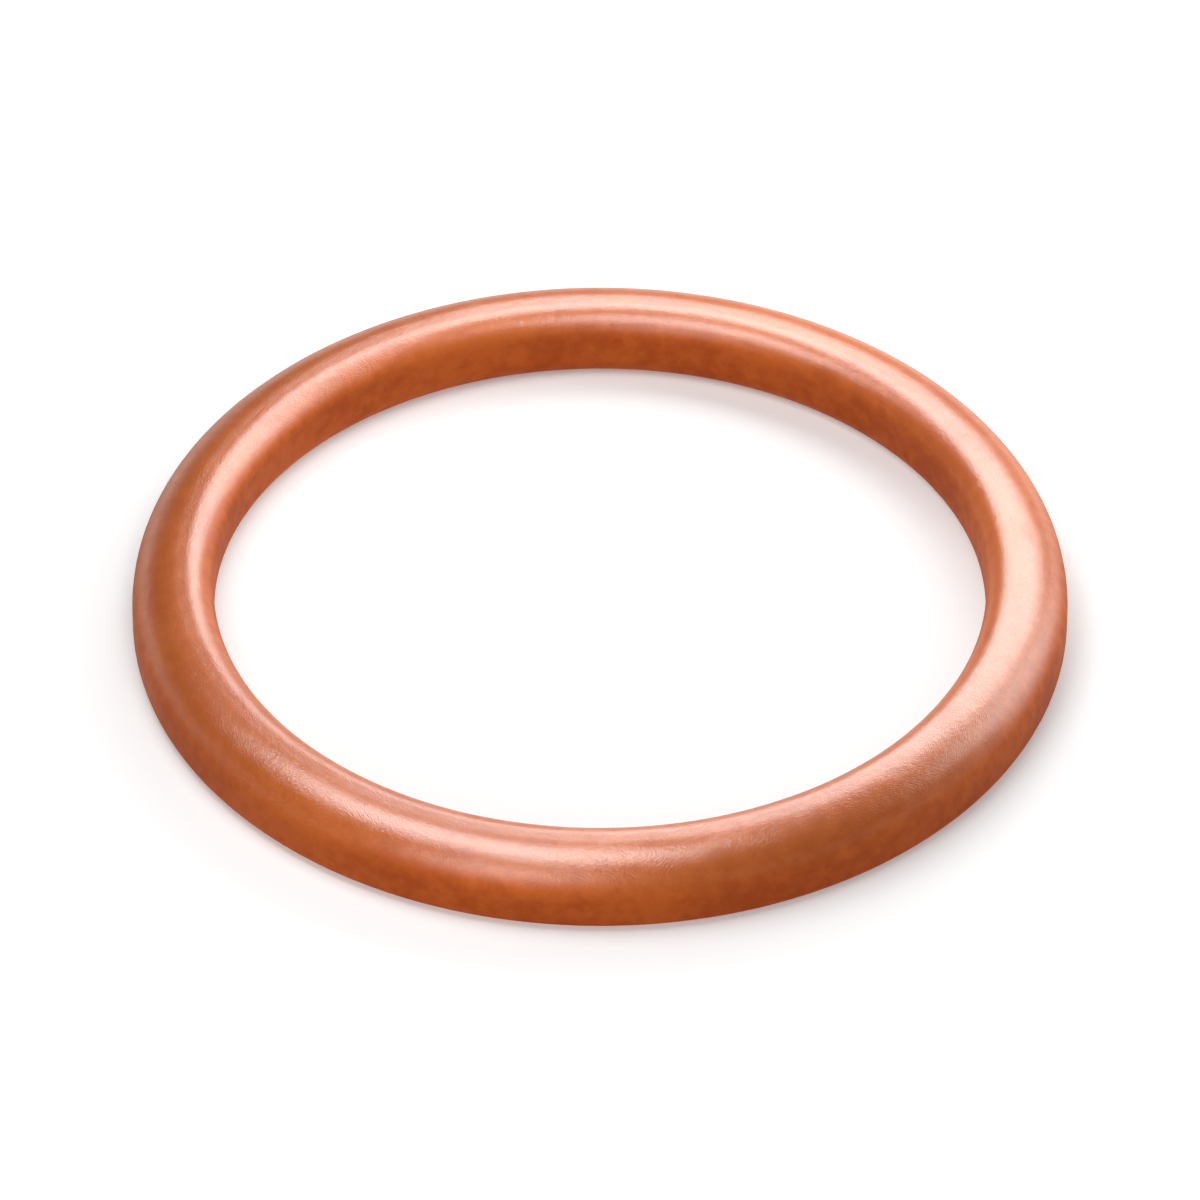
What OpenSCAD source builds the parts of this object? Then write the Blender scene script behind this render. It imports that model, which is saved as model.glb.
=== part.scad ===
/* [Ring] */
// Diameter of the hole that the exhaust gas passes through
bore_d = 37; // [30:0.5:60]
// Width of the metal between the hole and the outer wall
wall_w = 3.95; // [3:0.05:8]
// Height of the ring before it is clamped
ring_h = 3.8; // [3:0.1:8]

/* [Pipe side] */
// Radius of the broad outer shoulder, which leads the ring into the flange
crown_outer_r = 2.2; // [0.4:0.1:4]
// Radius of the upper edge of the hole
crown_inner_r = 1.4; // [0.4:0.1:4]

/* [Port side] */
// Radius of the lower outer edge, which clears the corner of the recess
foot_outer_r = 0.7; // [0.2:0.1:3]
// Radius of the lower edge of the hole
foot_inner_r = 1.3; // [0.2:0.1:3]

/* [Hidden] */

// Steps round the whole ring, and round one edge of its section
ring_steps = 144;
edge_steps = 60;

bore_r = bore_d / 2;

// Narrowest flat that the rounding may leave on a seat or on an upright wall
least_flat = 0.2;
// Share of the wanted radii that the section has room for: 1 as drawn, less on a slimmer ring
room = min(
    1,
    (wall_w - least_flat) / (crown_outer_r + crown_inner_r),
    (wall_w - least_flat) / (foot_outer_r + foot_inner_r),
    (ring_h - least_flat) / (crown_outer_r + foot_outer_r),
    (ring_h - least_flat) / (crown_inner_r + foot_inner_r)
);

// What comes off a square corner at the origin to leave it rounded
module corner_waste(r) {
    // The cutter reaches past the corner, so that no skin is left on the faces
    spare = 1;
    difference() {
        translate([-spare, -spare])
            square(r + spare);
        translate([r, r])
            circle(r = r, $fn = edge_steps);
    }
}

// Section through one side, with the hole at x = 0 and the port's seat at y = 0
module ring_section() {
    difference() {
        square([wall_w, ring_h]);
        corner_waste(foot_inner_r * room);
        translate([wall_w, 0])
            mirror([1, 0])
                corner_waste(foot_outer_r * room);
        translate([0, ring_h])
            mirror([0, 1])
                corner_waste(crown_inner_r * room);
        translate([wall_w, ring_h])
            rotate(180)
                corner_waste(crown_outer_r * room);
    }
}

// The whole gasket: one closed ring of copper, lying on its flatter port side
module gasket_ring() {
    color("#b5622f")
        rotate_extrude($fn = ring_steps)
            translate([bore_r, 0])
                ring_section();
}

gasket_ring();
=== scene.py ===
import math
import bpy
from mathutils import Euler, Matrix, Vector, noise


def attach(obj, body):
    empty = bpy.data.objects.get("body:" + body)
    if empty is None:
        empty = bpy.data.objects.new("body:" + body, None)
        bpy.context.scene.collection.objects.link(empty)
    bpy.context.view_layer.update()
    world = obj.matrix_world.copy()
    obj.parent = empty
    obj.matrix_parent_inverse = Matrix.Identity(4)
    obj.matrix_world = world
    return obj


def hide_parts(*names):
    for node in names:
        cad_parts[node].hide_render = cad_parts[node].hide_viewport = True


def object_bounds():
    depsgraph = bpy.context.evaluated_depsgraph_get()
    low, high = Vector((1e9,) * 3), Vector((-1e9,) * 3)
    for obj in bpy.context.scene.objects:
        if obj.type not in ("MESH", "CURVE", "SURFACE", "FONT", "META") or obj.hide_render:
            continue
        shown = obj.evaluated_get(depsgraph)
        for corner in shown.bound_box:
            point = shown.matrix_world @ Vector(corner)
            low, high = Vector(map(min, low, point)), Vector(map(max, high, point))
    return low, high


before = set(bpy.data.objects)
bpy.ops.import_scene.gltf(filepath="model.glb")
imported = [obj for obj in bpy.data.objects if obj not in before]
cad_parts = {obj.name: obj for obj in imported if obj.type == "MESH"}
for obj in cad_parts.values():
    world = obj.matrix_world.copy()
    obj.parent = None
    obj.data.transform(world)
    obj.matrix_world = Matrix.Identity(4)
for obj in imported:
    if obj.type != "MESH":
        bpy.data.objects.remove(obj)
cad_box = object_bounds()

# The gasket ring
# One closed ring of annealed copper, pressed to a rounded section: a broad shoulder towards
# the pipe and tighter edges towards the port. It lies loose on its port side, and once
# fitted it is held only by the clamped flange.
MM = 0.001
BORE_R = 18.5
WALL_W = 3.95
RING_H = 3.8
CROWN_OUTER_R = 2.2
CROWN_INNER_R = 1.4
FOOT_OUTER_R = 0.7
FOOT_INNER_R = 1.3
MIDDLE_R = BORE_R + WALL_W / 2
STEPS_ROUND = 720
STEPS_SECTION = 126

# The press leaves long shallow waves and shorter dents, about a hundredth of a millimetre deep
WAVE_LENGTH, WAVE_DEPTH = 9.0, 0.014
DENT_LENGTH, DENT_DEPTH = 2.2, 0.008


def section_point(along):
    """A point of the section, in mm: radius, height, and the way the surface faces there."""
    outer, quarter = BORE_R + WALL_W, math.pi / 2
    middle = (BORE_R + FOOT_INNER_R + outer - FOOT_OUTER_R) / 2
    runs = [
        ((middle, 0), (outer - FOOT_OUTER_R, 0)),
        ((outer - FOOT_OUTER_R, FOOT_OUTER_R), FOOT_OUTER_R, -quarter),
        ((outer, FOOT_OUTER_R), (outer, RING_H - CROWN_OUTER_R)),
        ((outer - CROWN_OUTER_R, RING_H - CROWN_OUTER_R), CROWN_OUTER_R, 0),
        ((outer - CROWN_OUTER_R, RING_H), (BORE_R + CROWN_INNER_R, RING_H)),
        ((BORE_R + CROWN_INNER_R, RING_H - CROWN_INNER_R), CROWN_INNER_R, quarter),
        ((BORE_R, RING_H - CROWN_INNER_R), (BORE_R, FOOT_INNER_R)),
        ((BORE_R + FOOT_INNER_R, FOOT_INNER_R), FOOT_INNER_R, 2 * quarter),
        ((BORE_R + FOOT_INNER_R, 0), (middle, 0)),
    ]
    lengths = [math.dist(*run) if len(run) == 2 else run[1] * quarter for run in runs]
    left = along * sum(lengths)
    for run, length in zip(runs, lengths):
        if left <= length:
            break
        left -= length
    if len(run) == 2:
        (r0, z0), (r1, z1) = run
        share = left / length
        return r0 + (r1 - r0) * share, z0 + (z1 - z0) * share, (z1 - z0) / length, (r0 - r1) / length
    (r, z), radius, start = run
    turn = start + left / radius
    return r + radius * math.cos(turn), z + radius * math.sin(turn), math.cos(turn), math.sin(turn)


section = [section_point(j / STEPS_SECTION) for j in range(STEPS_SECTION)]
verts, faces, girth, faces_up = [], [], [], []
for i in range(STEPS_ROUND):
    turn = math.tau * i / STEPS_ROUND
    c, s = math.cos(turn), math.sin(turn)
    for j, (r, z, face_out, face_up) in enumerate(section):
        spot = Vector((r * c, r * s, z))
        wave = 0.5 + 0.5 * noise.noise(spot / WAVE_LENGTH)
        dent = 0.5 + 0.5 * noise.noise(spot / DENT_LENGTH + Vector((7, 3, 5)))
        # The seat stays flat
        sunk = (wave * WAVE_DEPTH + dent * DENT_DEPTH) * min(1, 2 * (1 + face_up))
        r_sunk, z_sunk = r - face_out * sunk, z - face_up * sunk
        verts.append((r_sunk * c * MM, r_sunk * s * MM, z_sunk * MM))
        girth.append(j)
        faces_up.append(face_up)
for i in range(STEPS_ROUND):
    k = (i + 1) % STEPS_ROUND
    for j in range(STEPS_SECTION):
        m = (j + 1) % STEPS_SECTION
        faces.append((i * STEPS_SECTION + j, k * STEPS_SECTION + j,
                      k * STEPS_SECTION + m, i * STEPS_SECTION + m))
section_length = sum(math.dist(section[j][:2], section[j - 1][:2]) for j in range(STEPS_SECTION))
girth = [g * section_length / STEPS_SECTION for g in girth]

ring_mesh = bpy.data.meshes.new("gasket_copper")
ring_mesh.from_pydata(verts, [], faces)
ring_mesh.shade_smooth()
ring_mesh.attributes.new("girth", "FLOAT", "POINT").data.foreach_set("value", girth)
ring_mesh.attributes.new("faces_up", "FLOAT", "POINT").data.foreach_set("value", faces_up)
ring = bpy.data.objects.new("gasket_copper", ring_mesh)
bpy.context.scene.collection.objects.link(ring)
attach(ring, "root")
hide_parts("gasket_ring")


def linear(hex_colour):
    """An sRGB colour such as #b5622f as linear red, green, blue and 1."""
    parts = [int(hex_colour[k:k + 2], 16) / 255 for k in (1, 3, 5)]
    return [p / 12.92 if p <= 0.04045 else ((p + 0.055) / 1.055) ** 2.4 for p in parts] + [1]


def add(material, kind, settings, links=()):
    """Adds a node. settings are its properties and, by name or number, its sockets' values;
    links are pairs of a socket's name or number and the output that feeds it."""
    node = material.node_tree.nodes.new(kind)
    for name, value in settings.items():
        if isinstance(name, int) or name in node.inputs:
            node.inputs[name].default_value = value
        else:
            setattr(node, name, value)
    for name, output in links:
        material.node_tree.links.new(output, node.inputs[name])
    return node.outputs


# Annealed copper: softened by heat, then tumbled and brushed. Heat leaves a thin film of
# red copper oxide, broken on the upright walls, closed and rubbed smooth on the crown. The
# eye sees a deep orange-brown body, soft blotches, short hair marks that lie both ways, and
# over the crown the film's own pale satin sheen.
copper = bpy.data.materials.new("annealed_copper")
copper.use_nodes = True
copper.node_tree.nodes.clear()
spot = add(copper, "ShaderNodeTexCoord", {})["Object"]
in_mm = add(copper, "ShaderNodeVectorMath", {"operation": "SCALE", "Scale": 1 / MM}, [(0, spot)])[0]
girth_mm = add(copper, "ShaderNodeAttribute", {"attribute_name": "girth"})["Fac"]
facing = add(copper, "ShaderNodeAttribute", {"attribute_name": "faces_up"})["Fac"]

# Hair marks from the brush are some 0.07 mm wide and 0.2 to 0.3 mm long, which is as fine as
# the render can show them. They lean both ways, and one lean leads in each patch of a few mm.
# They follow the surface: the place round the ring is turned as it goes round the section.
MARK_SPACING, MARK_LENGTH, MARK_PATCH = 0.055, 0.16, 4.0
level = add(copper, "ShaderNodeVectorMath", {"operation": "MULTIPLY", 1: (1, 1, 0)}, [(0, spot)])[0]
round_way = add(copper, "ShaderNodeVectorMath", {"operation": "NORMALIZE"}, [(0, level)])[0]
on_ring = add(copper, "ShaderNodeVectorMath", {"operation": "SCALE", "Scale": MIDDLE_R}, [(0, round_way)])[0]
marks = []
for lean in (1, -1):
    angle = add(copper, "ShaderNodeMath", {"operation": "MULTIPLY", 1: lean / MIDDLE_R}, [(0, girth_mm)])[0]
    leaning = add(copper, "ShaderNodeVectorRotate", {"rotation_type": "Z_AXIS"},
                  [("Vector", on_ring), ("Angle", angle)])[0]
    climb = add(copper, "ShaderNodeMath", {"operation": "MULTIPLY", 1: 2 * MARK_SPACING / MARK_LENGTH},
                [(0, girth_mm)])[0]
    rise = add(copper, "ShaderNodeCombineXYZ", {}, [("Z", climb)])[0]
    lay = add(copper, "ShaderNodeVectorMath", {"operation": "ADD"}, [(0, leaning), (1, rise)])[0]
    marks.append(add(copper, "ShaderNodeTexNoise", {"Scale": 0.707 / MARK_SPACING, "Detail": 1.0,
                                                    "Roughness": 0.6, "Distortion": 0.15},
                     [("Vector", lay)])["Fac"])
patch = add(copper, "ShaderNodeTexNoise", {"Scale": 1 / MARK_PATCH, "Detail": 1.0},
            [("Vector", in_mm)])["Fac"]
which = add(copper, "ShaderNodeMapRange", {"From Min": 0.4, "From Max": 0.6, "To Min": 0.25, "To Max": 0.75},
            [("Value", patch)])[0]
hair = add(copper, "ShaderNodeMix", {}, [(0, which), (2, marks[0]), (3, marks[1])])[0]

# Soft blotches of oxide under a millimetre across, and broad clouds of several millimetres,
# shade the colour from darker to lighter
BLOTCH_SIZE, CLOUD_SIZE = 0.7, 6.0
blotch = add(copper, "ShaderNodeTexNoise", {"Scale": 1 / BLOTCH_SIZE, "Detail": 2.0, "Roughness": 0.55},
             [("Vector", in_mm)])["Fac"]
cloud = add(copper, "ShaderNodeTexNoise", {"Scale": 1 / CLOUD_SIZE, "Detail": 2.0},
            [("Vector", in_mm)])["Fac"]
skin = add(copper, "ShaderNodeMath", {"operation": "ADD"}, [(0, blotch), (1, cloud)])[0]
shade = add(copper, "ShaderNodeMapRange", {"From Min": 0.82, "From Max": 1.18}, [("Value", skin)])[0]
# Two copies of the copper colour: a darker one for the upright walls, which is painted shade, and a lighter
# one for the crown, which is painted light
shaded_wall_colour = add(copper, "ShaderNodeMix", {"data_type": "RGBA", 6: linear("#a84803"), 7: linear("#b65611")},
                  [(0, shade)])[2]
lit_crown_colour = add(copper, "ShaderNodeMix", {"data_type": "RGBA", 6: linear("#d2661b"), 7: linear("#de7227")},
                   [(0, shade)])[2]
# How far the lighter crown colour takes over, by how the surface faces: hardly on an upright wall, fully on
# the crown. This is painted shade on the walls and painted light on the crown.
crown_share = add(copper, "ShaderNodeMapRange", {"interpolation_type": "SMOOTHSTEP", "From Min": -0.05,
                                            "From Max": 0.84}, [("Value", facing)])[0]
colour = add(copper, "ShaderNodeMix", {"data_type": "RGBA"},
             [(0, crown_share), (6, shaded_wall_colour), (7, lit_crown_colour)])[2]
# The metal reflects on the walls nearly by itself. Under the crown's film about half of the
# light comes back from the matt oxide.
metal = add(copper, "ShaderNodeMapRange", {"To Min": 0.9, "To Max": 0.45}, [("Value", crown_share)])[0]
satin = add(copper, "ShaderNodeMapRange", {"From Min": 0.7, "From Max": 1.3, "To Min": 0.68, "To Max": 0.62},
            [("Value", skin)])[0]

# The film is the clear coat. Copper oxide bends light strongly, with an index near 2.8. The
# film is closed on the crown and nearly gone on the walls, and the hair marks thin it. It is
# weaker at a glance, where the even white paper would show brighter than a real room does.
closed = add(copper, "ShaderNodeMapRange", {"interpolation_type": "SMOOTHSTEP", "From Min": 0.28,
                                            "From Max": 1.02, "To Min": 0.04}, [("Value", facing)])[0]
thinned = add(copper, "ShaderNodeMapRange", {"From Min": 0.35, "From Max": 0.65, "To Min": 0.78},
              [("Value", hair)])[0]
glance = add(copper, "ShaderNodeLayerWeight", {"Blend": 0.5})["Facing"]
weaker = add(copper, "ShaderNodeMapRange", {"From Min": 0.45, "From Max": 0.95, "To Min": 1.0,
                                            "To Max": 0.55}, [("Value", glance)])[0]
film = add(copper, "ShaderNodeMath", {"operation": "MULTIPLY"}, [(0, closed), (1, thinned)])[0]
film = add(copper, "ShaderNodeMath", {"operation": "MULTIPLY"}, [(0, film), (1, weaker)])[0]

# The hair marks and the blotches also stand in the surface, by about 0.02 mm
MARK_DEPTH, BLOTCH_DEPTH = 0.021, 0.018
hair_bump = add(copper, "ShaderNodeBump", {"Strength": 1.0, "Distance": MARK_DEPTH * MM},
                [("Height", hair)])[0]
bump = add(copper, "ShaderNodeBump", {"Strength": 1.0, "Distance": BLOTCH_DEPTH * MM},
           [("Height", blotch), ("Normal", hair_bump)])[0]
surface = add(copper, "ShaderNodeBsdfPrincipled", {"Coat Roughness": 0.29, "Coat IOR": 2.8},
              [("Base Color", colour), ("Roughness", satin), ("Metallic", metal), ("Coat Weight", film),
               ("Normal", bump), ("Coat Normal", bump)])[0]
add(copper, "ShaderNodeOutputMaterial", {}, [("Surface", surface)])
ring_mesh.materials.append(copper)

# The table
# A plain white table top under the ring, with a low white backdrop far off at its edge.
TABLE_R, BACKDROP_H = 3.0, 0.25
rim = [(TABLE_R * math.cos(math.tau * i / 96), TABLE_R * math.sin(math.tau * i / 96)) for i in range(96)]
table_z = cad_box[0][2] - 0.01 * MM
table_mesh = bpy.data.meshes.new("table")
table_mesh.from_pydata([(x, y, table_z) for x, y in rim] + [(x, y, BACKDROP_H) for x, y in rim], [],
                       [tuple(range(96))] + [(i, (i + 1) % 96, 96 + (i + 1) % 96, 96 + i) for i in range(96)])
table = bpy.data.objects.new("table", table_mesh)
bpy.context.scene.collection.objects.link(table)

# Matt white paper. The lamps are small and close, so the camera and the metal also see the
# paper as white that lights itself, faintly under the ring and fully from 100 mm away.
paper = bpy.data.materials.new("white_paper")
paper.use_nodes = True
paper.node_tree.nodes.clear()
ray = add(paper, "ShaderNodeLightPath", {})
seen = add(paper, "ShaderNodeMath", {"operation": "MAXIMUM"},
           [(0, ray["Is Camera Ray"]), (1, ray["Is Glossy Ray"])])[0]
seen = add(paper, "ShaderNodeMath", {"operation": "MAXIMUM"}, [(0, seen), (1, ray["Is Transmission Ray"])])[0]
where = add(paper, "ShaderNodeTexCoord", {})["Object"]
away = add(paper, "ShaderNodeVectorMath", {"operation": "LENGTH"}, [(0, where)])["Value"]
far = add(paper, "ShaderNodeMapRange", {"From Min": 10 * MM, "From Max": 100 * MM, "To Min": 0.15,
                                         "To Max": 0.87}, [("Value", away)])[0]
glow = add(paper, "ShaderNodeMath", {"operation": "MULTIPLY"}, [(0, seen), (1, far)])[0]
lit = add(paper, "ShaderNodeBsdfDiffuse", {"Color": linear("#f0f0f0")})[0]
white = add(paper, "ShaderNodeEmission", {}, [("Strength", glow)])[0]
both = add(paper, "ShaderNodeAddShader", {}, [(0, lit), (1, white)])[0]
add(paper, "ShaderNodeOutputMaterial", {}, [("Surface", both)])
table_mesh.materials.append(paper)

# The light
# Four softboxes close round the ring, unseen by the camera: one over its left, one behind it
# to the right, and two low ones further off, at the right and in front.


def softbox(name, tilt, azimuth, distance, width, height, brightness, turn=0.0):
    """An even lamp aimed at the ring. tilt is from overhead and azimuth from +X, in degrees;
    distance and sizes are in mm, and turn is about its own axis."""
    data = bpy.data.lights.new(name, "AREA")
    data.shape = "RECTANGLE"
    data.size, data.size_y = width * MM, height * MM
    data.energy = brightness * math.pi * data.size * data.size_y
    lamp = bpy.data.objects.new(name, data)
    t, a = math.radians(tilt), math.radians(azimuth)
    way = Vector((math.sin(t) * math.cos(a), math.sin(t) * math.sin(a), math.cos(t)))
    lamp.location = way * distance * MM
    lamp.rotation_euler = Euler((t, 0, a + math.pi / 2))
    lamp.rotation_euler.rotate_axis("Z", math.radians(turn))
    lamp.visible_camera = False
    bpy.context.scene.collection.objects.link(lamp)


softbox("over_left", 19.6, -140.6, 66, 67, 43, 3.30, 12)
softbox("behind_right", 48.6, 64.3, 56, 64, 33, 3.28, 6)
softbox("low_right", 70.8, 16.2, 92, 50, 76, 2.00, 19)
softbox("low_front", 68.3, -110.2, 92, 49, 46, 3.25, -31)

room = bpy.data.worlds.new("dim_room")
bpy.context.scene.world = room
room.use_nodes = True
room.node_tree.nodes["Background"].inputs["Color"].default_value = linear("#ffffff")
room.node_tree.nodes["Background"].inputs["Strength"].default_value = 0.02

# The camera
# A long lens at the photograph's angle, 40 degrees up, aimed on the ring's axis a little below
# half its height.
CAMERA_DISTANCE, CAMERA_UP, AIM_Z = 587.4, 40.09, 1.38
lens = bpy.data.cameras.new("camera")
lens.lens, lens.sensor_width = 367.0, 36.0
lens.clip_start, lens.clip_end = 0.01, 20
camera = bpy.data.objects.new("camera", lens)
up = math.radians(CAMERA_UP)
camera.location = (0, -CAMERA_DISTANCE * math.cos(up) * MM, (AIM_Z + CAMERA_DISTANCE * math.sin(up)) * MM)
camera.rotation_euler = (math.pi / 2 - up, 0, 0)
bpy.context.scene.collection.objects.link(camera)
bpy.context.scene.camera = camera
bpy.context.scene.view_settings.view_transform = "Standard"
